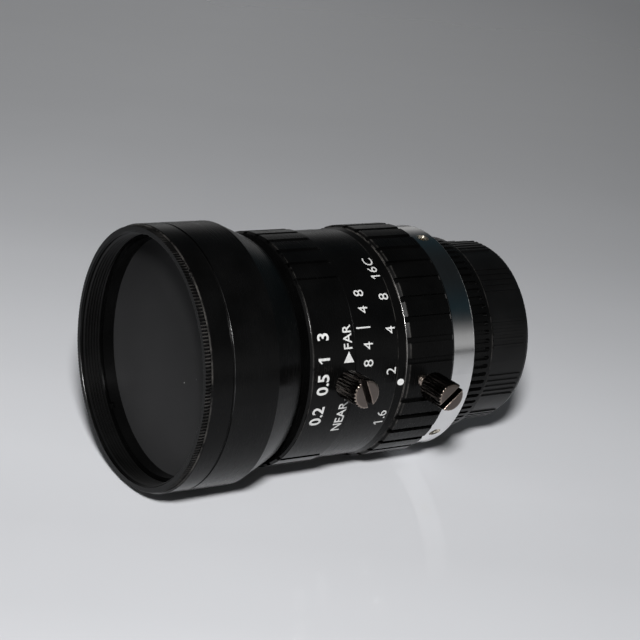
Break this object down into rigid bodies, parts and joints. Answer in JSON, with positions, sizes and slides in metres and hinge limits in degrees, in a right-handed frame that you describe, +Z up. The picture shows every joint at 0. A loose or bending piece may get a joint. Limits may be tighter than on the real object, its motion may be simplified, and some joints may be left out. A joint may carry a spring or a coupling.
{
  "type": "machine vision lens",
  "caption": "Manual machine vision lens with screw-thread camera mount: focus and iris rings with lock screws, moving front group, bladed diaphragm, front filter and rear cap.",
  "frame": {"origin": "on the optical axis, in the flange seat that meets the camera", "axes": "+Y along the optical axis towards the camera, +Z up as the lens lies in the picture, lock screws towards +X"},
  "size_m": [0.0468, 0.065, 0.0412],
  "materials": {
    "black_anodised": "satin black anodised",
    "bright_satin": "satin turned",
    "dark_nickel": "black nickel, faces worn warm grey",
    "steel": "bright",
    "blackened_steel": "matt blackened",
    "filter_tint": "dark polished",
    "optical_glass": "coated, polished",
    "black_plastic": "satin moulded"
  },
  "bodies": {
    "barrel": {"main_barrel": "black_anodised", "guide_key": "steel", "diaphragm_base_plate": "blackened_steel", "diaphragm_retaining_ring": "black_anodised", "silver_ring": "bright_satin", "set_screws": "steel", "mount_barrel": "black_anodised", "rear_lens_tube": "black_anodised", "fourth_element": "optical_glass", "fifth_element": "optical_glass", "rear_spacer": "black_anodised", "sixth_element": "optical_glass", "rear_retaining_ring": "black_anodised"},
    "front_group": {"front_housing": "black_anodised", "front_lens_tube": "black_anodised", "front_retaining_ring": "black_anodised", "first_element": "optical_glass", "middle_spacer": "black_anodised", "second_element": "optical_glass", "front_spacer": "black_anodised", "third_element": "optical_glass", "filter_frame": "black_anodised", "filter_glass": "filter_tint", "filter_retaining_ring": "black_anodised"},
    "focus": {"focus_ring": "black_anodised", "focus_stop_screw": "steel"},
    "focus_lock": {"focus_lock_screw": "dark_nickel"},
    "iris": {"iris_ring": "black_anodised", "iris_drive_pin": "steel", "iris_cam_ring": "black_anodised"},
    "iris_lock": {"iris_lock_screw": "dark_nickel"},
    "cap": {"rear_cap": "black_plastic"},
    "blade_1": {"iris_blade_1": "blackened_steel"},
    "blade_2": {"iris_blade_2": "blackened_steel"},
    "blade_3": {"iris_blade_3": "blackened_steel"},
    "blade_4": {"iris_blade_4": "blackened_steel"},
    "blade_5": {"iris_blade_5": "blackened_steel"},
    "blade_6": {"iris_blade_6": "blackened_steel"}
  },
  "joints": [
    {"name": "focus_turn", "type": "hinge", "parent": "barrel", "child": "focus", "pos_m": [0, -0.0331, 0], "axis": [0, 1, 0], "range_deg": [-70, 110]},
    {"name": "front_travel", "type": "slide", "parent": "barrel", "child": "front_group", "axis": [0, -1, 0], "range_m": [-0.00101, 0.00159]},
    {"name": "focus_lock_turn", "type": "hinge", "parent": "focus", "child": "focus_lock", "pos_m": [0.01861, -0.0313, 0.0012], "axis": [0.9979, 0, 0.0645], "range_deg": [0, 360]},
    {"name": "iris_turn", "type": "hinge", "parent": "barrel", "child": "iris", "pos_m": [0, -0.016, 0], "axis": [0, 1, 0], "range_deg": [-63.5, 20]},
    {"name": "iris_lock_turn", "type": "hinge", "parent": "iris", "child": "iris_lock", "pos_m": [0.01885, -0.016, 0], "axis": [1, 0, 0], "range_deg": [0, 360]},
    {"name": "cap_off", "type": "slide", "parent": "barrel", "child": "cap", "axis": [0, 1, 0], "range_m": [0, 0.012]},
    {"name": "blade_1_turn", "type": "hinge", "parent": "barrel", "child": "blade_1", "pos_m": [0, -0.01885, 0.013], "axis": [0, 1, 0], "range_deg": [-7.12, 22.48]},
    {"name": "blade_2_turn", "type": "hinge", "parent": "barrel", "child": "blade_2", "pos_m": [0.01126, -0.01863, 0.0065], "axis": [0, 1, 0], "range_deg": [-7.12, 22.48]},
    {"name": "blade_3_turn", "type": "hinge", "parent": "barrel", "child": "blade_3", "pos_m": [0.01126, -0.01841, -0.0065], "axis": [0, 1, 0], "range_deg": [-7.12, 22.48]},
    {"name": "blade_4_turn", "type": "hinge", "parent": "barrel", "child": "blade_4", "pos_m": [0, -0.01819, -0.013], "axis": [0, 1, 0], "range_deg": [-7.12, 22.48]},
    {"name": "blade_5_turn", "type": "hinge", "parent": "barrel", "child": "blade_5", "pos_m": [-0.01126, -0.01797, -0.0065], "axis": [0, 1, 0], "range_deg": [-7.12, 22.48]},
    {"name": "blade_6_turn", "type": "hinge", "parent": "barrel", "child": "blade_6", "pos_m": [-0.01126, -0.01775, 0.0065], "axis": [0, 1, 0], "range_deg": [-7.12, 22.48]}
  ],
  "couplings": [
    {"joint": "focus_turn", "follows": "front_travel", "rad_per_m": 1208.3},
    {"joint": "blade_1_turn", "follows": "iris_turn", "ratio": -0.35329},
    {"joint": "blade_2_turn", "follows": "iris_turn", "ratio": -0.35329},
    {"joint": "blade_3_turn", "follows": "iris_turn", "ratio": -0.35329},
    {"joint": "blade_4_turn", "follows": "iris_turn", "ratio": -0.35329},
    {"joint": "blade_5_turn", "follows": "iris_turn", "ratio": -0.35329},
    {"joint": "blade_6_turn", "follows": "iris_turn", "ratio": -0.35329}
  ]
}
